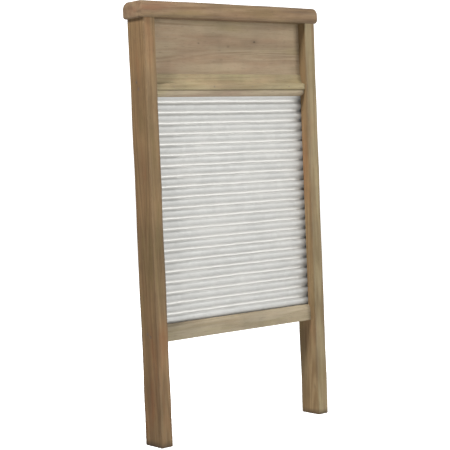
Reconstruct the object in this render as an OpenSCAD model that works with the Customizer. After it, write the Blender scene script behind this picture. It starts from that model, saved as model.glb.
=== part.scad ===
// Wooden-framed washboard with a ribbed metal rubbing sheet.
// Millimetres, +Z up, front towards -Y, origin on the floor midway between the feet.
// Every depth is measured back from the front faces of the two posts.

/* [Overall] */
// Height from the floor to the top of the cap
overall_h = 603; // [560:1:640]
// Width across the outer faces of the two posts
frame_w = 311; // [280:1:330]

/* [Posts] */
// Width of a post, seen from the front
post_w = 19; // [16:0.5:24]
// Depth of a post, front to back
post_d = 37; // [35:0.5:42]
// Radius worn onto the long edges of the posts
post_round = 1.5; // [0.5:0.1:2.5]
// Bevel round the bottom of each foot
foot_bevel = 1.2; // [0.5:0.1:2]

/* [Grooves] */
// Depth at which the long groove in each post begins
groove_set = 14.5; // [13:0.5:15]
// Width of the long groove, front to back
groove_w = 10.5; // [9.5:0.5:12]
// How far the long groove runs into the post
groove_depth = 6; // [4:0.5:7]

/* [Cap] */
// Height of the cap
cap_h = 22.5; // [20:0.5:26]
// Overhang of the cap past each post's outer face
cap_side = 5.5; // [1:0.5:6]
// Overhang of the cap past the posts' front and back
cap_front = 3.5; // [1:0.5:6]
// Radius along the cap's upper edges
cap_round_top = 7; // [3:0.5:9]
// Radius along the cap's lower edges
cap_round_bottom = 3; // [1:0.5:5]

/* [Head] */
// Height of the crossbar's underside above the floor
crossbar_z = 475; // [460:0.5:484]
// Height of the crossbar
crossbar_h = 31.5; // [28:0.5:36]
// Depth of the lip along the foot of the crossbar's front
lip_set = 7; // [5.5:0.5:9]
// Depth of the soap ledge's nose
ledge_set = 4; // [2:0.5:5]

/* [Bottom rail] */
// Height of the rail's underside above the floor
rail_z = 142; // [130:0.5:150]
// Height of the rail
rail_h = 23.5; // [20:0.5:28]
// Depth of the rail's front
rail_set = 10; // [8:0.5:11]
// Height of the slope along the top of the rail's front
rail_slope = 7; // [4:0.5:9]
// Gap between the backs of the rail and crossbar and the backs of the posts
back_gap = 2; // [1:0.5:4]

/* [Rubbing sheet] */
// Distance between neighbouring ridges
ridge_pitch = 14.5; // [14:0.1:16]
// Height of a ridge from valley to crest
ridge_h = 4.5; // [3:0.1:5]
// Radius of the crests, the valleys taking the rest of the curve
crest_r = 6; // [5.5:0.1:6.2]
// Thickness of the metal
sheet_t = 0.5; // [0.4:0.1:0.8]

/* [Back] */
// Bevel on the back edges of each board behind the sheet
board_bevel = 1.5; // [0.5:0.1:2]

/* [Nails] */
// Diameter of the frame nails
nail_d = 2.8; // [2:0.1:3.2]
// Diameter of the frame nails' heads
nail_head_d = 5; // [4.5:0.1:6]
// Length of the frame nails
nail_len = 46; // [40:1:52]
// Diameter of the ledge brads
brad_d = 1.6; // [1.2:0.1:2]
// Length of the ledge brads
brad_len = 20; // [16:1:22]

/* [Hidden] */

big = 1000;             // longer than any cut needs to be
slip = 0.2;             // room at the end of a tongue or tenon
seat = 8.5;             // depth of the seats in the cap, crossbar and rail
corner_steps = 5;       // segments in a rounded edge

front_y = -post_d / 2;
post_top = overall_h - cap_h;
inner_w = frame_w - 2 * post_w;
tongue_w = inner_w + 2 * (groove_depth - slip);
groove_back = groove_set + groove_w;
bar_back = post_d - back_gap;
rail_top = rail_z + rail_h;
groove_foot = rail_z + 6;
crossbar_top = crossbar_z + crossbar_h;
lip_top = crossbar_z + 9;

// Post tenon that enters the cap, measured from the post's outer face
tenon_x = 3;
tenon_w = post_w - groove_depth - tenon_x;
tenon_inset = 4;
tenon_h = 12;

// Ridges: equal turns of a crest arc and a valley arc, as many as fit between the seats' bottoms
ridge_turn = 2 * atan(2 * ridge_h / ridge_pitch);
valley_r = ridge_pitch / 2 / sin(ridge_turn) - crest_r;
valley_set = groove_set + ridge_h;
ridges_top = crossbar_z + 8;
ridge_count = floor((ridges_top - rail_top + seat) / ridge_pitch);
ridges_bottom = ridges_top - ridge_count * ridge_pitch;
sheet_top = crossbar_z + seat - slip;
sheet_bottom = rail_top - seat + slip;
crest_steps = 10;
valley_steps = 5;

// Boards behind the sheet
board_count = 5;
board_set = valley_set + sheet_t;
boards_bottom = rail_top - seat;
board_h = (sheet_top - boards_bottom) / board_count;

// Nails: heads, tips and places
nail_head_t = 1.2;
nail_tip = 4;
brad_head_d = 2.6;
brad_head_t = 0.8;
brad_tip = 2;
cap_nail_x = frame_w / 2 - tenon_x - tenon_w / 2;
cap_nail_y = [-8, 8];
crossbar_nails = [[-1, crossbar_z + 11], [3, crossbar_top - 11]];
rail_nails = [[-3, rail_z + 9], [3, rail_top - 11]];
brad_x = [-105, -35, 35, 105];
brad_z = lip_top + 4.5;

// Points of a quarter circle about (cx, cy), from angle a to angle b
function arc(cx, cy, r, a, b, steps) =
    [for (i = [0:steps]) let (t = a + (b - a) * i / steps) [cx + r * cos(t), cy + r * sin(t)]];

// Outline of a w by h rectangle from its lower left corner, with lower and upper corner radii
function soft_rect(w, h, lower, upper) = concat(
    arc(lower, lower, lower, 180, 270, corner_steps),
    arc(w - lower, lower, lower, 270, 360, corner_steps),
    arc(w - upper, h - upper, upper, 0, 90, corner_steps),
    arc(upper, h - upper, upper, 90, 180, corner_steps)
);

// One ridge of the sheet as [height, depth] points, from its lower valley up to its upper valley.
// behind is 0 on the front of the metal and its thickness on the back.
function ridge(z, behind) =
    let (
        mid = z + ridge_pitch / 2,
        crest_d = groove_set + crest_r,
        valley_d = valley_set - valley_r,
        r_crest = crest_r - behind,
        r_valley = valley_r + behind
    ) concat(
        [for (i = [0:valley_steps - 1]) let (t = ridge_turn * i / valley_steps)
            [z + r_valley * sin(t), valley_d + r_valley * cos(t)]],
        [for (i = [0:crest_steps]) let (t = ridge_turn * (2 * i / crest_steps - 1))
            [mid + r_crest * sin(t), crest_d - r_crest * cos(t)]],
        [for (i = [1:valley_steps]) let (t = ridge_turn * (1 - i / valley_steps))
            [z + ridge_pitch - r_valley * sin(t), valley_d + r_valley * cos(t)]]
    );

// One face of the metal, from its bottom edge to its top edge
function sheet_face(behind) = concat(
    [[sheet_bottom, valley_set + behind]],
    [for (n = [0:ridge_count - 1])
        let (curve = ridge(ridges_bottom + n * ridge_pitch, behind))
        each [for (k = [0:len(curve) - (n < ridge_count - 1 ? 2 : 1)]) curve[k]]],
    [[sheet_top, valley_set + behind]]
);

function reversed(list) = [for (i = [len(list) - 1:-1:0]) list[i]];

// Extrudes a [depth, height] outline across the board, centred on x
module across(width) {
    translate([-width / 2, front_y, 0])
        rotate([90, 0, 90]) linear_extrude(width) children();
}

// A bar across the board, given by its first and last depth and its first and last height
module bar(width, d0, d1, z0, z1) {
    translate([-width / 2, front_y + d0, z0]) cube([width, d1 - d0, z1 - z0]);
}

// A nail along -Z with its head's top at the origin
module nail(shank_d, head_d, head_t, length, tip) {
    translate([0, 0, -head_t]) cylinder(h = head_t, d = head_d, $fn = 32);
    translate([0, 0, tip - length]) cylinder(h = length - tip - head_t / 2, d = shank_d, $fn = 32);
    translate([0, 0, -length]) cylinder(h = tip, d1 = 0.4, d2 = shank_d, $fn = 32);
}

module frame_nail() {
    nail(nail_d, nail_head_d, nail_head_t, nail_len, nail_tip);
}

// Nails down through the cap into one post; side is -1 on the left and 1 on the right
module cap_nails(side) {
    for (y = cap_nail_y)
        translate([side * cap_nail_x, y, overall_h]) frame_nail();
}

// Nails in through one post's outer face at the given [y, z] places
module side_nails(side, places) {
    for (p = places)
        translate([side * frame_w / 2, p[0], p[1]])
            rotate([0, side * 90, 0]) frame_nail();
}

module ledge_brads() {
    for (x = brad_x)
        translate([x, front_y + ledge_set, brad_z])
            rotate([90, 0, 0]) nail(brad_d, brad_head_d, brad_head_t, brad_len, brad_tip);
}

// Wedges that bevel the four lower edges of a foot
module foot_bevels() {
    side = foot_bevel * sqrt(2);
    for (s = [-1, 1]) {
        translate([post_w / 2 + s * post_w / 2, front_y - 1, 0])
            rotate([0, 45, 0]) translate([-side / 2, 0, -side / 2])
                cube([side, post_d + 2, side]);
        translate([-1, s * post_d / 2, 0])
            rotate([45, 0, 0]) translate([0, -side / 2, -side / 2])
                cube([post_w + 2, side, side]);
    }
}

// Post with its outer face at x = 0 and its grooved face towards +X
module post_blank() {
    difference() {
        translate([0, front_y, 0]) linear_extrude(post_top)
            polygon(soft_rect(post_w, post_d, post_round, post_round));
        translate([post_w - groove_depth, front_y + groove_set, groove_foot])
            cube([big, groove_w, big]);
        foot_bevels();
    }
    translate([tenon_x, front_y + tenon_inset, post_top - 1])
        cube([tenon_w, post_d - 2 * tenon_inset, tenon_h + 1]);
}

module left_post() {
    color("#8a6b48") difference() {
        translate([-frame_w / 2, 0, 0]) post_blank();
        cap_nails(-1);
        side_nails(-1, crossbar_nails);
        side_nails(-1, rail_nails);
    }
}

module right_post() {
    color("#8f7350") difference() {
        translate([frame_w / 2, 0, 0]) mirror([1, 0, 0]) post_blank();
        cap_nails(1);
        side_nails(1, crossbar_nails);
        side_nails(1, rail_nails);
    }
}

module top_cap() {
    cap_w = frame_w + 2 * cap_side;
    cap_d = post_d + 2 * cap_front;
    color("#8c6c4c") difference() {
        translate([0, 0, post_top]) intersection() {
            translate([-cap_w / 2, -cap_d / 2, 0]) rotate([90, 0, 90]) linear_extrude(cap_w)
                polygon(soft_rect(cap_d, cap_h, cap_round_bottom, cap_round_top));
            translate([-cap_w / 2, cap_d / 2, 0]) rotate([90, 0, 0]) linear_extrude(cap_d)
                polygon(soft_rect(cap_w, cap_h, cap_round_bottom, cap_round_bottom));
            translate([-cap_w / 2, -cap_d / 2, 0]) linear_extrude(cap_h)
                polygon(soft_rect(cap_w, cap_d, cap_round_bottom, cap_round_bottom));
        }
        // mortises for the posts' tenons
        for (side = [-1, 1])
            translate([side * cap_nail_x - tenon_w / 2, front_y + tenon_inset, post_top - 1])
                cube([tenon_w, post_d - 2 * tenon_inset, tenon_h + slip + 1]);
        // groove for the head panel
        bar(tongue_w, groove_set, groove_back, post_top - 1, post_top + seat);
        cap_nails(-1);
        cap_nails(1);
    }
}

module head_panel() {
    color("#9d8a71")
        bar(tongue_w, groove_set, groove_back, crossbar_top - seat, post_top + seat - slip);
}

// Moulding bradded to the crossbar: a rounded nose below a hollow that runs up to the panel
module soap_ledge() {
    nose_r = 3;
    nose_top = lip_top + 8.5;
    hollow_z = nose_top + 1;
    hollow_d = groove_set - ledge_set - nose_r - 1;
    hollow_steps = 10;
    color("#a59473") difference() {
        across(inner_w) polygon(concat(
            [[groove_set, lip_top]],
            arc(ledge_set + 1.5, lip_top + 1.5, 1.5, 270, 180, 3),
            arc(ledge_set + nose_r, nose_top - nose_r, nose_r, 180, 110, 4),
            [for (i = [1:hollow_steps]) let (t = 90 * i / hollow_steps)
                [ledge_set + nose_r + hollow_d * sin(t),
                 hollow_z + (crossbar_top - hollow_z) * (1 - cos(t))]],
            [[groove_set, crossbar_top]]
        ));
        ledge_brads();
    }
}

module crossbar() {
    color("#9c8565") difference() {
        union() {
            across(inner_w) polygon([
                [groove_set - 1, crossbar_z],
                [lip_set, crossbar_z + 4],
                [lip_set, lip_top - 1.5],
                [lip_set + 1, lip_top],
                [groove_set, lip_top],
                [groove_set, crossbar_top],
                [bar_back, crossbar_top],
                [bar_back, crossbar_z + 1.5],
                [bar_back - 1.5, crossbar_z]
            ]);
            bar(tongue_w, groove_set, groove_back, crossbar_z, crossbar_top);
        }
        // seat for the head panel
        bar(big, groove_set - 1, groove_back, crossbar_top - seat, crossbar_top + 1);
        // seat for the sheet and the top board
        bar(big, valley_set, groove_back, crossbar_z - 1, crossbar_z + seat);
        // relief for the crest of the topmost ridge
        bar(big, groove_set, valley_set + 1, crossbar_z - 1, ridges_top);
        side_nails(-1, crossbar_nails);
        side_nails(1, crossbar_nails);
        ledge_brads();
    }
}

module bottom_rail() {
    edge = 1.5;
    color("#a3957a") difference() {
        union() {
            across(inner_w) polygon([
                [rail_set + edge, rail_z],
                [rail_set, rail_z + edge],
                [rail_set, rail_top - rail_slope],
                [rail_set + 1, rail_top - rail_slope + 3],
                [groove_set, rail_top],
                [bar_back - edge, rail_top],
                [bar_back, rail_top - edge],
                [bar_back, rail_z + edge],
                [bar_back - edge, rail_z]
            ]);
            bar(tongue_w, groove_set, groove_back, groove_foot, rail_top);
        }
        // seat for the sheet and the bottom board
        bar(big, valley_set, groove_back, rail_top - seat, rail_top + 1);
        // relief for the foot of the lowest ridge
        if (ridges_bottom < rail_top)
            bar(big, valley_set - 1.5, valley_set + 1, ridges_bottom, rail_top + 1);
        side_nails(-1, rail_nails);
        side_nails(1, rail_nails);
    }
}

module rubbing_sheet() {
    color("#d0cfca")
        translate([-tongue_w / 2, front_y, 0])
            rotate([90, 0, 90]) linear_extrude(tongue_w)
                polygon([for (p = concat(sheet_face(0), reversed(sheet_face(sheet_t)))) [p[1], p[0]]]);
}

// Board n behind the sheet, counted from the bottom, with its back edges bevelled
module back_board(n) {
    z0 = boards_bottom + (n - 1) * board_h;
    z1 = z0 + board_h;
    color("#a08a68") across(tongue_w) polygon([
        [board_set, z0], [board_set, z1],
        [groove_back - board_bevel, z1], [groove_back, z1 - board_bevel],
        [groove_back, z0 + board_bevel], [groove_back - board_bevel, z0]
    ]);
}

module steel() {
    color("#6a6560") children();
}

left_post();
right_post();
top_cap();
head_panel();
soap_ledge();
crossbar();
bottom_rail();
rubbing_sheet();
back_board(1);  // back_board_1
back_board(2);  // back_board_2
back_board(3);  // back_board_3
back_board(4);  // back_board_4
back_board(5);  // back_board_5
steel() cap_nails(-1);  // cap_nails_left
steel() cap_nails(1);  // cap_nails_right
steel() side_nails(-1, crossbar_nails);  // crossbar_nails_left
steel() side_nails(1, crossbar_nails);  // crossbar_nails_right
steel() side_nails(-1, rail_nails);  // rail_nails_left
steel() side_nails(1, rail_nails);  // rail_nails_right
steel() ledge_brads();
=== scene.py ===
from math import atan, cos, radians, sin, sqrt, tau

import bmesh
import bpy
import numpy as np
from mathutils import Matrix, Quaternion, Vector


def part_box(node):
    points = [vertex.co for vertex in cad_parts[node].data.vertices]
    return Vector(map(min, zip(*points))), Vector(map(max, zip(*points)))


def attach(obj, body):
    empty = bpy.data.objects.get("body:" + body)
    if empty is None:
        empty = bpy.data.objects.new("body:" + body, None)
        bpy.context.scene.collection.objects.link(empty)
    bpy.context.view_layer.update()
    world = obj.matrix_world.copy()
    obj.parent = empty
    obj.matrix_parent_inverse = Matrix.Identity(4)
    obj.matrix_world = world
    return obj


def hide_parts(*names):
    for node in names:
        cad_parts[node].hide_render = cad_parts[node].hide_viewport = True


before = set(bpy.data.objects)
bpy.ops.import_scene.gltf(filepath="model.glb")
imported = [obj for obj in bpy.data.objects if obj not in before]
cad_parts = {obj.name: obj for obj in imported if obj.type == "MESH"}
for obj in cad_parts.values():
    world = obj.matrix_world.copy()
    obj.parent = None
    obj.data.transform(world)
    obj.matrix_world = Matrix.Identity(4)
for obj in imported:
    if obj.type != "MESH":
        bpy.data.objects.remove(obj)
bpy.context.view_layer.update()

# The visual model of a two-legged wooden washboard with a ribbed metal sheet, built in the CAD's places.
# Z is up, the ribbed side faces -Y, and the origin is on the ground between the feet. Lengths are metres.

MM = 0.001
BODY = "root"


# ---------------------------------------------------------------- places, all read from the frame

LEFT_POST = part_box("left_post")
RIGHT_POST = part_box("right_post")
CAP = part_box("top_cap")
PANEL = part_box("head_panel")
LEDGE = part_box("soap_ledge")
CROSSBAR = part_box("crossbar")
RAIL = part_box("bottom_rail")
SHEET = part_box("rubbing_sheet")
BOARDS = ["back_board_%d" % n for n in range(1, 6)]

FRONT = LEFT_POST[0].y                  # front faces of the posts
BACK = LEFT_POST[1].y
OUTER = RIGHT_POST[1].x                 # outer face of the right post
INNER = LEDGE[1].x                      # inner face of the right post
TONGUE = PANEL[1].x                     # half the panel's width, tongues included
POST_W = OUTER - INNER
GROOVE_FRONT = PANEL[0].y
GROOVE_BACK = PANEL[1].y
GROOVE_DEPTH = TONGUE - INNER + 0.2 * MM
SHOULDER = CAP[0].z                     # top of the posts, where their tenons begin
TENON_TOP = LEFT_POST[1].z
TENON_X = (3 * MM, POST_W - GROOVE_DEPTH)
TENON_INSET = 4 * MM
GROOVE_FOOT = RAIL[0].z + 6 * MM         # where the posts' stopped grooves begin
SEAT = 8.5 * MM                         # how deep the sheet and the panel sit in their bars
VALLEY = SHEET[1].y - 0.5 * MM          # front of the metal in the valleys
CREST = SHEET[0].y                      # front of the metal on the ridges
RIDGE_PITCH = 14.5 * MM
RIDGES = 22
RIDGES_TOP = CROSSBAR[0].z + 8 * MM
RIDGES_BOTTOM = RIDGES_TOP - RIDGES * RIDGE_PITCH
CREST_R = 6 * MM
LIP_TOP = LEDGE[0].z                    # the crossbar's lip, which shows below the ledge
LIP_Y = FRONT + 7 * MM
SHARP = radians(32)                     # edges that turn further than this stay crisp
RING_GAP = 7 * MM                       # distance between the rings of a swept piece


# ---------------------------------------------------------------- mesh helpers

def wander(seed, count, knots):
    """A smooth random curve of count values between about -1 and 1: a cubic spline on that many knots."""
    values = np.random.RandomState(seed).uniform(-1, 1, knots + 3)
    t = np.linspace(0, knots - 1, count)
    i = np.minimum(t.astype(int), knots - 1)
    f = t - i
    a, b, c, d = (values[i + k] for k in range(4))
    curve = (1 - f + 3 * f ** 2 - 3 * f ** 3) * a + (4 - 6 * f ** 2 + 3 * f ** 3) * b
    return 1.5 * (curve + (1 + 3 * f + 3 * f ** 2 - 3 * f ** 3) * c + f ** 3 * d) / 6


def outline(corners, growth):
    """Points round a section given as (a, b, radius) corners, each radius times its growth.

    Returns the points and how worn each is: 1 on a rounded corner and 0 on the flat beside it."""
    steps = 4                               # faces round one corner
    flank = 2.5 * MM                        # how far the wear reaches on to the flat
    points, wear = [], []
    n = len(corners)
    for i in range(n):
        here = np.array(corners[i][:2])
        before = np.array(corners[i - 1][:2])
        after = np.array(corners[(i + 1) % n][:2])
        to_before = (before - here) / np.linalg.norm(before - here)
        to_after = (after - here) / np.linalg.norm(after - here)
        radius = corners[i][2] * growth[i]
        if radius > 0:
            half = 0.5 * np.arccos(np.clip(to_before @ to_after, -1, 1))
            reach = radius / np.tan(half)
            centre = here + (to_before + to_after) / np.linalg.norm(to_before + to_after) * radius / sin(half)
            first = here + to_before * reach
            last = here + to_after * reach
            for k in range(steps + 1):
                mix = first + (last - first) * k / steps - centre
                points.append(centre + mix / np.linalg.norm(mix) * radius)
                wear.append(1.0)
        else:
            last = here
            points.append(here)
            wear.append(0.0)
        next_radius = corners[(i + 1) % n][2] * growth[(i + 1) % n]
        room = np.linalg.norm(after - last)
        inset = min(flank, 0.3 * room)
        far = min(flank + next_radius, 0.6 * room)
        points.append(last + to_after * inset)
        points.append(after - to_after * far)
        wear += [0.0, 0.0]
    return np.array(points), np.array(wear)


def new_object(name, vertices, faces, layers, sharp=SHARP):
    """A smooth-shaded object with sharp edges kept, and its point layers as attributes."""
    mesh = bpy.data.meshes.new(name)
    mesh.from_pydata([tuple(v) for v in vertices], [], faces)
    for key, values in layers.items():
        mesh.attributes.new(key, "FLOAT", "POINT").data.foreach_set("value", np.asarray(values, np.float32))
    bm = bmesh.new()
    bm.from_mesh(mesh)
    bmesh.ops.remove_doubles(bm, verts=bm.verts, dist=1e-6)
    bmesh.ops.dissolve_degenerate(bm, edges=bm.edges, dist=1e-7)
    bmesh.ops.recalc_face_normals(bm, faces=bm.faces)
    finish_shading(bm, sharp)
    bm.to_mesh(mesh)
    bm.free()
    obj = bpy.data.objects.new(name, mesh)
    bpy.context.scene.collection.objects.link(obj)
    return obj


def finish_shading(bm, sharp):
    """Smooth faces, with the edges that turn further than sharp kept crisp."""
    for face in bm.faces:
        face.smooth = True
    for edge in bm.edges:
        edge.smooth = len(edge.link_faces) != 2 or edge.calc_face_angle(0) < sharp


def swept(name, rings, wear):
    """A closed skin over rings of points, all of one length, capped at both ends."""
    n = len(rings[0])
    faces = []
    for r in range(len(rings) - 1):
        for k in range(n):
            faces.append((r * n + k, r * n + (k + 1) % n, (r + 1) * n + (k + 1) % n, (r + 1) * n + k))
    faces.append(tuple(range(n - 1, -1, -1)))
    last = (len(rings) - 1) * n
    faces.append(tuple(range(last, last + n)))
    return new_object(name, np.vstack(rings), faces, {"wear": np.concatenate(wear)})


def along_x(points, t):
    """Section points, given as (y, z), set at distance t across the board."""
    return np.column_stack([np.full(len(points), t), points[:, 0], points[:, 1]])


def beam(name, seed, corners, start, end, end_round):
    """A length of worn wood across the board, its section's corners worn unevenly, its ends rounded."""
    soft = [end_round * (1 - cos(a)) for a in (0, radians(40), radians(70), radians(90))]
    middle = list(np.arange(start + end_round, end - end_round, RING_GAP)[1:])
    places = [start + s for s in soft] + middle + [end - s for s in reversed(soft)]
    knots = max(6, int((end - start) / 0.04))
    growths = [1 + 0.45 * wander(seed + 10 * i, len(places), knots) for i in range(len(corners))]
    rings, wear = [], []
    for r, t in enumerate(places):
        growth = [max(0.35, g[r]) for g in growths]
        points, worn = outline(corners, growth)
        near = min(t - start, end - t)
        if near < end_round:
            inset = end_round - sqrt(max(0.0, end_round ** 2 - (end_round - near) ** 2))
            low, high = points.min(0), points.max(0)
            centre = (low + high) / 2
            half = (high - low) / 2
            points = centre + (points - centre) * (half - inset) / half
            worn = np.maximum(worn, 0.9)
        rings.append(along_x(points, t))
        wear.append(worn)
    return swept(name, rings, wear)


def cut(obj, boxes):
    """Takes boxes given as (low corner, high corner) out of the object, as its joints need."""
    for low, high in boxes:
        bm = bmesh.new()
        size = [b - a for a, b in zip(low, high)]
        middle = [(a + b) / 2 for a, b in zip(low, high)]
        bmesh.ops.create_cube(bm, size=1, matrix=Matrix.Translation(middle) @ Matrix.Diagonal((*size, 1)))
        mesh = bpy.data.meshes.new("cutter")
        bm.to_mesh(mesh)
        bm.free()
        cutter = bpy.data.objects.new("cutter", mesh)
        bpy.context.scene.collection.objects.link(cutter)
        modifier = obj.modifiers.new("cut", "BOOLEAN")
        modifier.operation = "DIFFERENCE"
        modifier.solver = "EXACT"
        modifier.object = cutter
        bpy.context.view_layer.update()
        evaluated = obj.evaluated_get(bpy.context.evaluated_depsgraph_get())
        obj.data = bpy.data.meshes.new_from_object(evaluated)
        obj.modifiers.clear()
        bpy.data.objects.remove(cutter)
    bm = bmesh.new()
    bm.from_mesh(obj.data)
    finish_shading(bm, SHARP)
    bm.to_mesh(obj.data)
    bm.free()
    return obj


def dress(obj, material, slot, *nodes):
    """Gives a piece its material and its body, and hides the CAD nodes that it stands for; slot is not used.
    """
    obj.data.materials.clear()
    obj.data.materials.append(material)
    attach(obj, BODY)
    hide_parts(*nodes)


# ---------------------------------------------------------------- material helpers

class Nodes:
    """A short way to build a material's node tree."""

    def __init__(self, name):
        self.material = bpy.data.materials.new(name)
        self.material.use_nodes = True
        self.tree = self.material.node_tree
        self.shader = self.tree.nodes["Principled BSDF"]

    def add(self, kind, **inputs):
        node = self.tree.nodes.new(kind)
        for key, value in inputs.items():
            setattr(node, key, value)
        return node

    def put(self, node, key, value):
        """Links a socket to the node's input, or sets a plain value there."""
        if isinstance(value, bpy.types.NodeSocket):
            self.tree.links.new(value, node.inputs[key])
        else:
            node.inputs[key].default_value = value

    def position(self, scale, offset=(0, 0, 0)):
        """Object coordinates in metres, scaled along each axis and then shifted."""
        coords = self.add("ShaderNodeTexCoord").outputs["Object"]
        mapping = self.add("ShaderNodeMapping")
        self.put(mapping, "Vector", coords)
        self.put(mapping, "Scale", scale)
        self.put(mapping, "Location", offset)
        return mapping.outputs["Vector"]

    def noise(self, vector, scale=1.0, detail=3.0, rough=0.55, distortion=0.0):
        node = self.add("ShaderNodeTexNoise")
        self.put(node, "Vector", vector)
        self.put(node, "Scale", scale)
        self.put(node, "Detail", detail)
        self.put(node, "Roughness", rough)
        self.put(node, "Distortion", distortion)
        return node.outputs["Fac"]

    def math(self, operation, a, b=0.0, c=0.0, clamp=False):
        node = self.add("ShaderNodeMath", operation=operation, use_clamp=clamp)
        self.put(node, 0, a)
        self.put(node, 1, b)
        self.put(node, 2, c)
        return node.outputs[0]

    def ramp(self, value, low, high, to_low=0.0, to_high=1.0):
        """A smooth step from to_low, where the value is low, up to to_high, where it is high."""
        node = self.add("ShaderNodeMapRange", interpolation_type="SMOOTHSTEP")
        self.put(node, "Value", value)
        self.put(node, "From Min", low)
        self.put(node, "From Max", high)
        self.put(node, "To Min", to_low)
        self.put(node, "To Max", to_high)
        return node.outputs["Result"]

    def mix(self, factor, a, b, blend="MIX"):
        node = self.add("ShaderNodeMix", data_type="RGBA", blend_type=blend)
        self.put(node, "Factor", factor)
        self.put(node, 6, a if isinstance(a, bpy.types.NodeSocket) else (*a, 1))
        self.put(node, 7, b if isinstance(b, bpy.types.NodeSocket) else (*b, 1))
        return node.outputs[2]

    def layer(self, name):
        """A point layer that the mesh carries."""
        return self.add("ShaderNodeAttribute", attribute_name=name).outputs["Fac"]

    def bump(self, height, strength, distance):
        node = self.add("ShaderNodeBump")
        self.put(node, "Strength", strength)
        self.put(node, "Distance", distance)
        self.put(node, "Height", height)
        self.put(self.shader, "Normal", node.outputs["Normal"])


def srgb(r, g, b):
    """A colour given in 0 to 255 steps, as the shader wants it."""
    return tuple(((c / 255 + 0.055) / 1.055) ** 2.4 if c > 10 else c / 255 / 12.92 for c in (r, g, b))


def wood(name, along, seed, pale, dark, red, olive, edge, dirt=(), knots=(), edge_amount=0.5, sides=None):
    """Old matt wood with its grain along one axis.

    pale and dark are the early and late wood, red and olive the two stains that wander along the
    grain, and edge the colour of the worn corners. dirt lists (axis, level, reach) of grime bands,
    knots lists (position, radius) of pin knots, and sides tints the faces that face sideways as painted light
    and shade."""
    n = Nodes(name)
    axis = "xyz".index(along)

    def stretched(fine, long):
        return tuple(long if k == axis else fine for k in range(3))

    shift = (seed * 1.37, seed * 0.71, seed * 2.13)
    rings = n.noise(n.position(stretched(26, 1.6), shift), 1, 2, 0.5, 0.35)
    rings = n.math("SINE", n.math("MULTIPLY", rings, 62.0))
    rings = n.math("MULTIPLY_ADD", rings, 0.5, 0.5)
    streaks = n.noise(n.position(stretched(170, 5), shift), 1, 4, 0.6)
    fibres = n.noise(n.position(stretched(1100, 22), shift), 1, 4, 0.65)
    pores = n.ramp(n.noise(n.position(stretched(1700, 75), shift), 1, 2, 0.5), 0.60, 0.70)
    stains = n.noise(n.position(stretched(34, 7), shift), 1, 4, 0.6)
    blotches = n.noise(n.position((11, 11, 11), shift), 1, 5, 0.6)

    grain = n.math("ADD", n.math("MULTIPLY", rings, 0.34), n.math("MULTIPLY", streaks, 0.80))
    grain = n.math("ADD", grain, n.math("MULTIPLY", fibres, 0.55))
    grain = n.ramp(grain, 0.55, 1.25)
    colour = n.mix(grain, pale, dark)
    colour = n.mix(n.ramp(stains, 0.50, 0.72, 0, 0.75), colour, red)
    colour = n.mix(n.ramp(stains, 0.50, 0.30, 0, 0.70), colour, olive)
    shade = n.ramp(blotches, 0.30, 0.75, 0.84, 1.14)
    grey = n.add("ShaderNodeCombineColor")
    for k in range(3):
        n.put(grey, k, shade)
    colour = n.mix(1.0, colour, grey.outputs[0], "MULTIPLY")
    colour = n.mix(n.math("MULTIPLY", pores, 0.45), colour, tuple(0.45 * c for c in dark))

    place = n.add("ShaderNodeTexCoord").outputs["Object"]
    height = n.math("MULTIPLY_ADD", fibres, 0.6, n.math("MULTIPLY", rings, 0.25))
    for k, (spot, radius) in enumerate(knots):
        offset = n.add("ShaderNodeVectorMath", operation="SUBTRACT")
        n.put(offset, 0, place)
        n.put(offset, 1, spot)
        squeezed = n.add("ShaderNodeVectorMath", operation="MULTIPLY")
        n.put(squeezed, 0, offset.outputs[0])
        n.put(squeezed, 1, stretched(1, 0.55))
        away = n.add("ShaderNodeVectorMath", operation="LENGTH")
        n.put(away, 0, squeezed.outputs[0])
        ragged = n.noise(n.position((420, 420, 420), (k, 0, 0)), 1, 2)
        reach = n.math("ADD", away.outputs["Value"], n.math("MULTIPLY", ragged, 0.7 * radius))
        core = n.ramp(reach, radius * 1.35, radius * 0.55)
        halo = n.ramp(reach, radius * 3.6, radius * 1.0, 0, 0.45)
        colour = n.mix(halo, colour, tuple(0.70 * c for c in dark))
        colour = n.mix(n.math("MULTIPLY", core, 0.8), colour, tuple(0.32 * c for c in dark))

    parts = n.add("ShaderNodeSeparateXYZ")
    n.put(parts, 0, place)
    broken = n.ramp(blotches, 0.35, 0.62, 0.55, 1.25)
    for band_axis, level, reach in dirt:
        band = n.ramp(parts.outputs["xyz".index(band_axis)], level, level + reach, 0.75, 0.0)
        colour = n.mix(n.math("MULTIPLY", band, broken, clamp=True), colour, tuple(0.40 * c for c in dark))

    # Painted light and shade: faces turned along X take the sides tint, for how the lamps fall on the
    # sideways faces.
    if sides:
        facing = n.add("ShaderNodeSeparateXYZ")
        n.put(facing, 0, n.add("ShaderNodeTexCoord").outputs["Normal"])
        sideways = n.ramp(n.math("ABSOLUTE", facing.outputs["X"]), 0.4, 0.9)
        colour = n.mix(sideways, colour, n.mix(1.0, colour, sides, "MULTIPLY"))

    worn = n.math("MULTIPLY", n.layer("wear"), n.ramp(streaks, 0.35, 0.65, 0.4, 1.0))
    colour = n.mix(n.math("MULTIPLY", worn, edge_amount), colour, edge)
    n.put(n.shader, "Base Color", colour)
    n.put(n.shader, "Roughness", n.ramp(fibres, 0.3, 0.7, 0.66, 0.88))
    n.shader.inputs["Specular IOR Level"].default_value = 0.32
    n.bump(n.math("SUBTRACT", height, n.math("MULTIPLY", pores, 0.5)), 0.55, 0.35 * MM)
    return n.material


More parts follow.
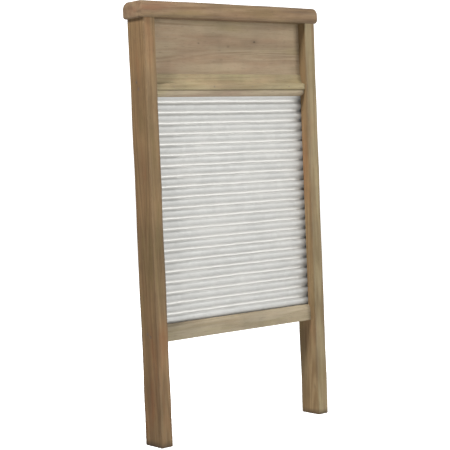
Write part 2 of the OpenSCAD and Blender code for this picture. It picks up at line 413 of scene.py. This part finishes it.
def zinc(name):
    """Dull zinc-coated steel: crystals, a pale bloom, and valleys painted paler, partly chalky film and
    partly painted light.
    """
    n = Nodes(name)
    crystals = n.add("ShaderNodeTexVoronoi", feature="F1", distance="EUCLIDEAN")
    n.put(crystals, "Vector", n.position((75, 75, 75)))
    n.put(crystals, "Scale", 1.0)
    cell = n.add("ShaderNodeSeparateColor")
    n.put(cell, 0, crystals.outputs["Color"])
    bloom = n.noise(n.position((16, 16, 22), (3, 1, 2)), 1, 6, 0.62)
    scuffs = n.noise(n.position((60, 400, 900), (1, 4, 2)), 1, 3, 0.6)
    valley = n.layer("valley")
    # Painted shade: these base tones are kept low so the crests, which the valley film doesn't reach, look
    # darker.
    colour = n.mix(cell.outputs[0], srgb(159, 159, 156), srgb(166, 166, 163))
    colour = n.mix(n.ramp(bloom, 0.42, 0.70, 0, 0.45), colour, srgb(174, 173, 169))
    colour = n.mix(n.ramp(scuffs, 0.55, 0.75, 0, 0.25), colour, srgb(146, 145, 141))
    # Paler valleys: partly a chalky film where rubbing doesn't reach, partly painted light that lifts the
    # shade in the valleys.
    valley_film_and_painted_light = n.math("MULTIPLY", n.ramp(valley, 0.0, 0.42), n.ramp(bloom, 0.25, 0.60, 0.70, 0.95))
    colour = n.mix(valley_film_and_painted_light, colour, srgb(199, 198, 194))
    n.put(n.shader, "Base Color", colour)
    n.put(n.shader, "Metallic", n.ramp(bloom, 0.40, 0.75, 0.45, 0.30))
    rough = n.math("MULTIPLY_ADD", cell.outputs[1], 0.05, n.ramp(bloom, 0.30, 0.70, 0.46, 0.54))
    n.put(n.shader, "Roughness", rough)
    fine = n.noise(n.position((500, 500, 500)), 1, 3, 0.6)
    n.bump(n.math("ADD", fine, n.math("MULTIPLY", scuffs, 0.6)), 0.20, 0.12 * MM)
    return n.material


def nail_steel(name, bare, rusty):
    """Darkened steel with brown rust."""
    n = Nodes(name)
    rust = n.noise(n.position((420, 420, 420)), 1, 5, 0.6)
    fine = n.noise(n.position((2400, 2400, 2400)), 1, 3, 0.6)
    n.put(n.shader, "Base Color", n.mix(n.ramp(rust, 0.35, 0.58), bare, rusty))
    n.put(n.shader, "Metallic", n.ramp(rust, 0.30, 0.50, 0.35, 0.05))
    n.put(n.shader, "Roughness", n.ramp(fine, 0.30, 0.70, 0.50, 0.80))
    n.bump(n.math("ADD", fine, rust), 0.35, 0.10 * MM)
    return n.material


def pale_floor(name):
    """A nearly white matt floor that glows enough to look plain and evenly lit."""
    n = Nodes(name)
    drift = n.noise(n.position((1.5, 1.5, 1.5)), 1, 2)
    n.put(n.shader, "Base Color", n.mix(drift, (0.93, 0.93, 0.93), (0.95, 0.95, 0.945)))
    n.shader.inputs["Roughness"].default_value = 0.9
    n.shader.inputs["Specular IOR Level"].default_value = 0.1
    n.shader.inputs["Emission Color"].default_value = (1, 1, 1, 1)
    n.shader.inputs["Emission Strength"].default_value = FLOOR_GLOW
    return n.material


# ---------------------------------------------------------------- the pieces

def post(name, side, seed, material, slot):
    """A post with its long stopped groove, its foot and its tenon. side is -1 left, 1 right."""
    outer = side * OUTER
    worn = 1.6 * MM
    foot = 1.3 * MM

    def section(depth):
        """Corners as (distance in from the outer face, y, radius), with a groove of that depth."""
        return [
            (0, FRONT, worn), (POST_W, FRONT, worn),
            (POST_W, GROOVE_FRONT, 0), (POST_W - depth, GROOVE_FRONT, 0),
            (POST_W - depth, GROOVE_BACK, 0), (POST_W, GROOVE_BACK, 0),
            (POST_W, BACK, worn), (0, BACK, worn),
        ]

    places = [0.0, 0.35 * MM, foot] + list(np.arange(9 * MM, GROOVE_FOOT - 3 * MM, RING_GAP))
    groove_start = len(places) + 1
    places += [GROOVE_FOOT, GROOVE_FOOT]
    places += list(np.arange(GROOVE_FOOT + RING_GAP, SHOULDER - 3 * MM, RING_GAP)) + [SHOULDER]
    growths = [1 + 0.5 * wander(seed + 7 * i, len(places), 22) for i in range(8)]
    rings, wear = [], []
    for r, z in enumerate(places):
        depth = GROOVE_DEPTH if r >= groove_start else 0.01 * MM
        points, worn_here = outline(section(depth), [max(0.4, g[r]) for g in growths])
        if z < foot:
            inset = foot - sqrt(max(0.0, foot ** 2 - (foot - z) ** 2))
            centre = np.array([POST_W / 2, 0.0])
            half = np.array([POST_W / 2, BACK])
            points = centre + (points - centre) * (half - inset) / half
            worn_here = np.maximum(worn_here, 0.9)
        rings.append(np.column_stack([outer - side * points[:, 0], points[:, 1], np.full(len(points), z)]))
        wear.append(worn_here)
    top = rings[-1].copy()
    low_x, high_x = sorted((outer - side * TENON_X[0], outer - side * TENON_X[1]))
    top[:, 0] = top[:, 0].clip(low_x, high_x)
    top[:, 1] = top[:, 1].clip(FRONT + TENON_INSET, BACK - TENON_INSET)
    rings.append(top)
    rings.append(top + np.array([0, 0, TENON_TOP - SHOULDER]))
    wear += [np.zeros(len(top)), np.zeros(len(top))]
    dress(swept(name, rings, wear), material, slot, name.replace("_wood", ""))


def top_cap(material):
    """The rounded cap, with the mortises and the panel's groove in its underside."""
    low, high = CAP
    top, bottom = 7 * MM, 3.4 * MM
    corners = [(low.y, low.z, bottom), (high.y, low.z, bottom), (high.y, high.z, top), (low.y, high.z, top)]
    cap = beam("top_cap_wood", 11, corners, low.x, high.x, 3.5 * MM)
    under = low.z - 5 * MM
    joints = [((-TONGUE, GROOVE_FRONT, under), (TONGUE, GROOVE_BACK, low.z + SEAT))]
    for side in (-1, 1):
        edges = sorted(side * (OUTER - inset) for inset in TENON_X)
        joints.append(((edges[0], FRONT + TENON_INSET, under),
                       (edges[1], BACK - TENON_INSET, TENON_TOP + 0.2 * MM)))
    dress(cut(cap, joints), material, "cap_wood", "top_cap")


def head_panel(material):
    """A thin board with barely broken edges."""
    low, high = PANEL
    edge = 0.5 * MM
    corners = [(low.y, low.z, edge), (high.y, low.z, edge), (high.y, high.z, edge), (low.y, high.z, edge)]
    panel = beam("head_panel_wood", 23, corners, low.x, high.x, 0.5 * MM)
    dress(panel, material, "panel_wood", "head_panel")


def soap_ledge(material):
    """A rounded nose below a hollow that runs up to the panel."""
    low, high = LEDGE
    nose_top = low.z + 8.5 * MM
    run = high.y - low.y - 5 * MM
    rise = high.z - nose_top - 0.8 * MM
    hollow = [(low.y + 4 * MM + run * sin(a), high.z - rise * cos(a), 0)
              for a in np.radians([86, 76, 64, 52, 40, 28, 16, 4])]
    corners = hollow + [
        (low.y, nose_top, 3 * MM), (low.y, low.z, 1.5 * MM), (high.y, low.z, 0), (high.y, high.z, 0),
    ]
    ledge = beam("soap_ledge_wood", 31, corners, low.x, high.x, 0.3 * MM)
    dress(ledge, material, "panel_wood", "soap_ledge")


def tongued(corners, seed, name, low, high):
    """A beam between the posts, with a tongue at each end that fills the posts' grooves."""
    def shoulder(t, points):
        if abs(t) > INNER:
            points = points.copy()
            points[:, 0] = points[:, 0].clip(GROOVE_FRONT, GROOVE_BACK)
            points[:, 1] = points[:, 1].clip(low, high)
        return points

    places = [-TONGUE, -INNER - 1e-6, -INNER]
    places += list(np.arange(-INNER, INNER, RING_GAP)[1:])
    places += [INNER, INNER + 1e-6, TONGUE]
    growths = [1 + 0.5 * wander(seed + 9 * i, len(places), 14) for i in range(len(corners))]
    rings, wear = [], []
    for r, t in enumerate(places):
        points, worn = outline(corners, [max(0.4, g[r]) for g in growths])
        rings.append(along_x(shoulder(t, points), t))
        wear.append(worn)
    return swept(name, rings, wear)


def crossbar(material):
    """The bar behind the ledge, with seats for the panel and the sheet and room for the top ridge."""
    low, high = CROSSBAR
    edge = 1.2 * MM
    corners = [
        (GROOVE_FRONT - 1 * MM, low.z, 0.6 * MM), (high.y, low.z, edge), (high.y, high.z, edge),
        (GROOVE_FRONT, high.z, 0.3 * MM), (GROOVE_FRONT, LIP_TOP, 0), (LIP_Y, LIP_TOP, 1.0 * MM),
        (LIP_Y, low.z + 4 * MM, 1.0 * MM),
    ]
    bar = tongued(corners, 41, "crossbar_wood_painted_light", low.z, high.z)
    wide = TONGUE + 5 * MM
    below = low.z - 5 * MM
    seats = [
        ((-wide, GROOVE_FRONT - 5 * MM, high.z - SEAT), (wide, GROOVE_BACK, high.z + 5 * MM)),
        ((-wide, VALLEY, below), (wide, GROOVE_BACK, low.z + SEAT)),
        ((-wide, GROOVE_FRONT, below), (wide, VALLEY + 1 * MM, RIDGES_TOP)),
    ]
    dress(cut(bar, seats), material, "rail_wood", "crossbar")


def bottom_rail(material):
    """The rail below the sheet, sloped along its top front edge, with the sheet's seat behind that."""
    low, high = RAIL
    edge = 1.5 * MM
    corners = [
        (low.y, low.z, edge), (high.y, low.z, edge), (high.y, high.z, edge), (GROOVE_FRONT, high.z, 0.8 * MM),
        (low.y + 1 * MM, high.z - 4 * MM, 2.5 * MM), (low.y, high.z - 8 * MM, 2.5 * MM),
    ]
    rail = tongued(corners, 53, "bottom_rail_wood", GROOVE_FOOT, high.z)
    wide = TONGUE + 5 * MM
    seats = [
        ((-wide, VALLEY, high.z - SEAT), (wide, GROOVE_BACK, high.z + 5 * MM)),
        ((-wide, VALLEY - 1.5 * MM, RIDGES_BOTTOM), (wide, VALLEY + 1 * MM, high.z + 5 * MM)),
    ]
    dress(cut(rail, seats), material, "rail_wood", "bottom_rail")


def back_boards(make_material):
    """The boards behind the sheet, bevelled along their back edges."""
    for k, node in enumerate(BOARDS):
        low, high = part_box(node)
        bevel = 1.8 * MM
        gap = 0.15 * MM
        z0, z1 = low.z + gap, high.z - gap
        corners = [
            (low.y, z0, 0.2 * MM), (high.y - bevel, z0, 0.3 * MM), (high.y, z0 + bevel, 0.5 * MM),
            (high.y, z1 - bevel, 0.5 * MM), (high.y - bevel, z1, 0.3 * MM), (low.y, z1, 0.2 * MM),
        ]
        board = beam(node + "_wood", 60 + 3 * k, corners, low.x, high.x, 0.4 * MM)
        dress(board, make_material(k), "back_wood", node)


def rubbing_sheet(material):
    """The ribbed sheet: rounded ridges, narrow valleys and fine slanting crimps across the ridges."""
    low, high = SHEET
    pitch = RIDGE_PITCH
    bottom = RIDGES_BOTTOM
    thickness = 0.45 * MM
    depth = VALLEY - CREST
    turn = 2 * atan(2 * depth / pitch)                  # steepest slope, where crest and valley meet
    valley_r = pitch / 2 / sin(turn) - CREST_R
    valley_steps = 3
    crest_steps = 9

    # one row is (height, rise above the valley, how much of a valley it is, ridge number)
    rows = [(low.z, 0.0, 1.0, -1), (bottom - 2 * MM, 0.0, 1.0, -1)]
    for ridge in range(RIDGES):
        z = bottom + ridge * pitch
        for i in range(valley_steps):
            t = turn * i / valley_steps
            rows.append((z + valley_r * sin(t), valley_r * (1 - cos(t)), 1 - 0.5 * i / valley_steps, ridge))
        for i in range(crest_steps + 1):
            t = turn * (2 * i / crest_steps - 1)
            rise = depth - CREST_R * (1 - cos(t))
            rows.append((z + pitch / 2 + CREST_R * sin(t), rise, max(0.0, abs(t) / turn - 0.5), ridge))
        for i in range(1, valley_steps):
            part = i / valley_steps
            t = turn * (1 - part)
            rows.append((z + pitch - valley_r * sin(t), valley_r * (1 - cos(t)), 0.5 + 0.5 * part, ridge))
    rows += [(RIDGES_TOP, 0.0, 1.0, -1), (high.z, 0.0, 1.0, -1)]
    heights, rises, valleys, ridges = (np.array(c, float) for c in zip(*rows))
    n_rows = len(heights)
    columns = 141
    x = np.linspace(low.x, high.x, columns)
    X, Z = np.meshgrid(x, heights)
    rise = np.repeat(rises[:, None], columns, 1)
    ridge_of = np.repeat(ridges[:, None], columns, 1)
    ribbed = ridge_of >= 0

    # crimps: shallow creases that slant across each ridge's crown and die out at the posts
    crimp_pitch = 10.5 * MM
    crimp_slant = 1.35
    middle = bottom + (ridge_of + 0.5) * pitch
    phase = (X + (Z - middle) * crimp_slant) / crimp_pitch + 0.37 * ridge_of
    crease = (0.5 + 0.5 * np.cos(tau * phase)) ** 2.5
    crown = np.clip(1.6 * rise / depth - 0.35, 0, 1)
    clear_of_post = 1 - np.clip((np.abs(X) - (INNER - 3 * MM)) / (3 * MM), 0, 1)
    Y = VALLEY - rise + 0.30 * MM * crease * crown * clear_of_post * ribbed

    # sway: each valley wanders a little up and down, and takes the flanks beside it along
    wave = np.zeros_like(X)
    for k in range(1, RIDGES):
        sway = 0.30 * wander(300 + k, columns, 13) + 0.12 * np.sin(tau * x / (31 * MM) + 1.7 * k)
        mask = np.clip(1 - np.abs(Z - (bottom + k * pitch)) / (pitch * 0.55), 0, 1)
        wave += mask * sway[None, :] * MM
    Z = Z + wave * np.clip((INNER - np.abs(X)) / (6 * MM), 0, 1) * ribbed

    def skin(offset):
        return np.column_stack([X.ravel(), (Y + offset).ravel(), Z.ravel()])

    front = skin(0.0)
    back = skin(thickness)
    count = len(front)
    faces = []
    for r in range(n_rows - 1):
        for c in range(columns - 1):
            a = r * columns + c
            faces.append((a, a + 1, a + columns + 1, a + columns))
            b = a + count
            faces.append((b + columns, b + columns + 1, b + 1, b))
    rim = (list(range(columns)) + [r * columns + columns - 1 for r in range(1, n_rows)]
           + [(n_rows - 1) * columns + c for c in range(columns - 2, -1, -1)]
           + [r * columns for r in range(n_rows - 2, 0, -1)])
    for i, a in enumerate(rim):
        b = rim[(i + 1) % len(rim)]
        faces.append((b, a, a + count, b + count))
    valley = np.repeat(valleys[:, None], columns, 1).ravel()
    sheet = new_object("rubbing_sheet_metal", np.vstack([front, back]), faces,
                       {"valley": np.concatenate([valley, valley])}, radians(60))
    dress(sheet, material, "zinced_sheet", "rubbing_sheet")


def solid_boxes(node):
    """The low and high corners of each separate solid of a CAD node, in a settled order."""
    boxes = []
    bm = bmesh.new()
    bm.from_mesh(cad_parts[node].data)
    bmesh.ops.remove_doubles(bm, verts=bm.verts, dist=1e-6)
    todo = set(bm.verts)
    while todo:
        island, stack = [], [todo.pop()]
        while stack:
            v = stack.pop()
            island.append(v)
            for e in v.link_edges:
                w = e.other_vert(v)
                if w in todo:
                    todo.remove(w)
                    stack.append(w)
        places = np.array([v.co for v in island])
        boxes.append((tuple(places.min(0)), tuple(places.max(0))))
    bm.free()
    return sorted(boxes)


def nails(node, direction, material, length, head_r, shank_r):
    """The nails of one CAD node, each with a slightly domed head, a shank and a point."""
    out = Vector(direction)
    turn = out.to_track_quat("Z", "Y").to_matrix()
    sides = 24
    dome = [(0.0, 0.28), (0.55, 0.24), (0.88, 0.10), (1.0, -0.12), (0.96, -1.0), (0.6, -1.2)]
    profile = [(r * head_r, h * MM) for r, h in dome]
    profile += [(shank_r, -1.5 * MM), (shank_r, -length + 2.5 * shank_r), (0.15 * shank_r, -length)]
    vertices, faces = [], []
    for low, high in solid_boxes(node):
        centre = (Vector(low) + Vector(high)) / 2
        half = [(b - a) / 2 for a, b in zip(low, high)]
        head = centre + Vector([o * h for o, h in zip(out, half)])
        base = len(vertices)
        for r, h in profile:
            for k in range(sides):
                a = tau * k / sides
                vertices.append(head + turn @ Vector((r * cos(a), r * sin(a), h)))
        for ring in range(len(profile) - 1):
            start = base + ring * sides
            for k in range(sides):
                a = start + k
                b = start + (k + 1) % sides
                faces.append((a, a + sides, b + sides, b))
        faces.append(tuple(base + (len(profile) - 1) * sides + k for k in range(sides)))
    piece = new_object(node + "_steel", vertices, faces, {}, radians(40))
    dress(piece, material, "nail_steel", node)


# ---------------------------------------------------------------- build

# The posts' sides tints paint light and shade on their sideways faces.
post_left = wood("post_left_wood", "z", 1, srgb(122, 100, 70), srgb(96, 75, 49), srgb(114, 80, 51),
                 srgb(99, 84, 52), srgb(84, 69, 51), dirt=(("z", 0.0, 12 * MM),), edge_amount=0.45,
                 sides=(0.88, 0.83, 0.78))
post_right = wood("post_right_wood", "z", 2, srgb(132, 118, 89), srgb(106, 89, 62), srgb(124, 95, 66),
                  srgb(112, 99, 68), srgb(92, 80, 62), dirt=(("z", 0.0, 10 * MM),), edge_amount=0.45,
                  sides=(1.10, 0.96, 0.86))
cap_wood = wood("cap_wood", "x", 3, srgb(127, 105, 79), srgb(100, 78, 55), srgb(122, 86, 63),
                srgb(110, 92, 61), srgb(78, 66, 53), edge_amount=0.35)
panel_wood = wood("panel_wood", "x", 4, srgb(140, 124, 100), srgb(121, 103, 81), srgb(134, 111, 88),
                  srgb(128, 114, 85), srgb(119, 103, 81),
                  knots=(((0.050, GROOVE_FRONT, 0.5525), 1.9 * MM), ((0.001, GROOVE_FRONT, 0.545), 0.8 * MM),
                         ((-0.052, GROOVE_FRONT, 0.549), 0.7 * MM)))
ledge_wood = wood("ledge_wood", "x", 5, srgb(137, 125, 96), srgb(119, 105, 77), srgb(132, 113, 87),
                  srgb(130, 121, 82), srgb(120, 109, 84), edge_amount=0.3)
# Painted light: the crossbar shows only as the lip under the ledge, so its wood is made paler to lift the
# shade there.
crossbar_wood_painted_light = wood("crossbar_wood_painted_light", "x", 8, srgb(154, 141, 118), srgb(134, 119, 97), srgb(149, 127, 109),
                     srgb(147, 137, 103), srgb(136, 122, 103), edge_amount=0.3)
rail_wood = wood("rail_wood", "x", 6, srgb(144, 133, 112), srgb(123, 111, 88), srgb(136, 119, 96),
                 srgb(135, 125, 94), srgb(131, 119, 96), edge_amount=0.3)
metal = zinc("zinc_sheet")
steel = nail_steel("nail_steel", srgb(80, 68, 54), srgb(94, 71, 48))
brad_steel = nail_steel("brad_steel", srgb(106, 96, 80), srgb(119, 104, 78))


def board_material(k):
    """Every other board is a little paler."""
    tone = 1 + 0.05 * (-1) ** k
    pale = tuple(tone * c for c in srgb(139, 122, 94))
    dark = tuple(tone * c for c in srgb(113, 95, 71))
    return wood("board_wood_%d" % (k + 1), "x", 10 + k, pale, dark, srgb(130, 103, 77),
                srgb(122, 109, 79), srgb(104, 90, 69), edge_amount=0.4)


post("left_post_wood", -1, 5, post_left, "post_wood")
post("right_post_wood", 1, 77, post_right, "post_wood")
top_cap(cap_wood)
head_panel(panel_wood)
soap_ledge(ledge_wood)
crossbar(crossbar_wood_painted_light)
bottom_rail(rail_wood)
back_boards(board_material)
rubbing_sheet(metal)
for side_name, outwards in (("left", (-1, 0, 0)), ("right", (1, 0, 0))):
    for group, way in (("cap_nails_", (0, 0, 1)), ("crossbar_nails_", outwards), ("rail_nails_", outwards)):
        nails(group + side_name, way, steel, 46 * MM, 2.5 * MM, 1.4 * MM)
nails("ledge_brads", (0, -1, 0), brad_steel, 20 * MM, 1.3 * MM, 0.8 * MM)


# ---------------------------------------------------------------- studio

CAMERA_PLACE = (-1.1923, -1.4405, 0.3985)
CAMERA_YAW = 39.2673                    # degrees, turned to the right of straight ahead
CAMERA_PITCH = 3.2213                   # degrees, looking down
CAMERA_ROLL = -2.3488
LENS = 105.16                           # mm, on a sensor 36 mm wide
GLOW_FROM = (0.55, -0.83, 0.10)         # the direction that the broad glow comes from
GROUND = 1.22                           # strength of the light from below
SKY = 0.01                              # strength away from the glow
FRONT_GLOW = 0.90                       # strength in the middle of the glow
FLOOR_GLOW = 0.85                       # the floor's own light, which only the camera sees
KEY_POWER = 28                          # watts, as the two below
SIDE_POWER = 42
BACK_POWER = 16


def sweep():
    """A pale floor that curves up into a wall behind the board, square to the camera's view."""
    profile = [(-6.0, 0.0), (3.0, 0.0)]
    profile += [(3.0 + 1.5 * sin(a), 1.5 - 1.5 * cos(a)) for a in np.radians(np.arange(6, 91, 6))]
    profile += [(4.5, 5.0)]
    away = Vector((sin(radians(CAMERA_YAW)), cos(radians(CAMERA_YAW)), 0))
    side = Vector((away.y, -away.x, 0))
    bm = bmesh.new()
    strips = [[bm.verts.new(away * d + side * w + Vector((0, 0, z))) for d, z in profile] for w in (-9, 9)]
    for k in range(len(profile) - 1):
        bm.faces.new((strips[0][k], strips[1][k], strips[1][k + 1], strips[0][k + 1])).smooth = True
    mesh = bpy.data.meshes.new("floor")
    bm.to_mesh(mesh)
    bm.free()
    mesh.materials.append(pale_floor("pale_floor"))
    obj = bpy.data.objects.new("floor", mesh)
    obj.visible_diffuse = False         # the studio's own light from below takes the floor's place
    obj.visible_glossy = False
    bpy.context.scene.collection.objects.link(obj)


def softbox(name, place, target, size, power):
    """A square lamp at a place, aimed at a target."""
    light = bpy.data.lights.new(name, "AREA")
    light.shape = "SQUARE"
    light.size = size
    light.energy = power
    obj = bpy.data.objects.new(name, light)
    obj.location = place
    obj.rotation_euler = (Vector(target) - Vector(place)).to_track_quat("-Z", "Y").to_euler()
    bpy.context.scene.collection.objects.link(obj)


def studio():
    """A broad glow from the right front, light from below, a soft key, a high side light, a weak back one."""
    world = bpy.data.worlds.new("studio")
    world.use_nodes = True
    tree = world.node_tree
    place = tree.nodes.new("ShaderNodeTexCoord").outputs["Generated"]

    def fade(value, low, high, to_low, to_high):
        """A smooth step from to_low, where the value is low, up to to_high, where it is high."""
        node = tree.nodes.new("ShaderNodeMapRange")
        node.interpolation_type = "SMOOTHSTEP"
        tree.links.new(value, node.inputs["Value"])
        node.inputs["From Min"].default_value = low
        node.inputs["From Max"].default_value = high
        node.inputs["To Min"].default_value = to_low
        node.inputs["To Max"].default_value = to_high
        return node.outputs["Result"]

    towards = tree.nodes.new("ShaderNodeVectorMath")
    towards.operation = "DOT_PRODUCT"
    tree.links.new(place, towards.inputs[0])
    towards.inputs[1].default_value = Vector(GLOW_FROM).normalized()
    parts = tree.nodes.new("ShaderNodeSeparateXYZ")
    tree.links.new(place, parts.inputs[0])
    front = fade(towards.outputs["Value"], 0.15, 0.95, SKY, FRONT_GLOW)
    below = fade(parts.outputs["Z"], -0.08, 0.02, GROUND, 0.0)
    total = tree.nodes.new("ShaderNodeMath")
    total.operation = "ADD"
    tree.links.new(front, total.inputs[0])
    tree.links.new(below, total.inputs[1])
    seen = tree.nodes.new("ShaderNodeMix")           # the camera sees plain white past the floor
    tree.links.new(tree.nodes.new("ShaderNodeLightPath").outputs["Is Camera Ray"], seen.inputs["Factor"])
    tree.links.new(total.outputs[0], seen.inputs["A"])
    seen.inputs["B"].default_value = 1.0
    tree.links.new(seen.outputs["Result"], tree.nodes["Background"].inputs["Strength"])
    tree.nodes["Background"].inputs["Color"].default_value = (1, 1, 1, 1)
    bpy.context.scene.world = world
    softbox("key", (1.1, -2.0, 1.1), (0, 0, 0.35), 1.2, KEY_POWER)
    softbox("side", (-1.10, -0.32, 1.66), (0.1, 0, 0.40), 0.3, SIDE_POWER)
    softbox("back", (0.9, 2.2, 1.3), (0, 0, 0.35), 1.0, BACK_POWER)
    bpy.context.scene.view_settings.view_transform = "Standard"


def camera():
    """At the left front, level with the middle of the sheet, looking slightly down and rolled a little."""
    data = bpy.data.cameras.new("camera")
    data.sensor_width = 36
    data.lens = LENS
    data.clip_end = 50
    obj = bpy.data.objects.new("camera", data)
    obj.location = CAMERA_PLACE
    turn = Quaternion((0, 0, 1), radians(-CAMERA_YAW)) @ Quaternion((1, 0, 0), radians(90 - CAMERA_PITCH))
    obj.rotation_mode = "QUATERNION"
    obj.rotation_quaternion = turn @ Quaternion((0, 0, 1), radians(CAMERA_ROLL))
    bpy.context.scene.collection.objects.link(obj)
    bpy.context.scene.camera = obj


sweep()
studio()
camera()
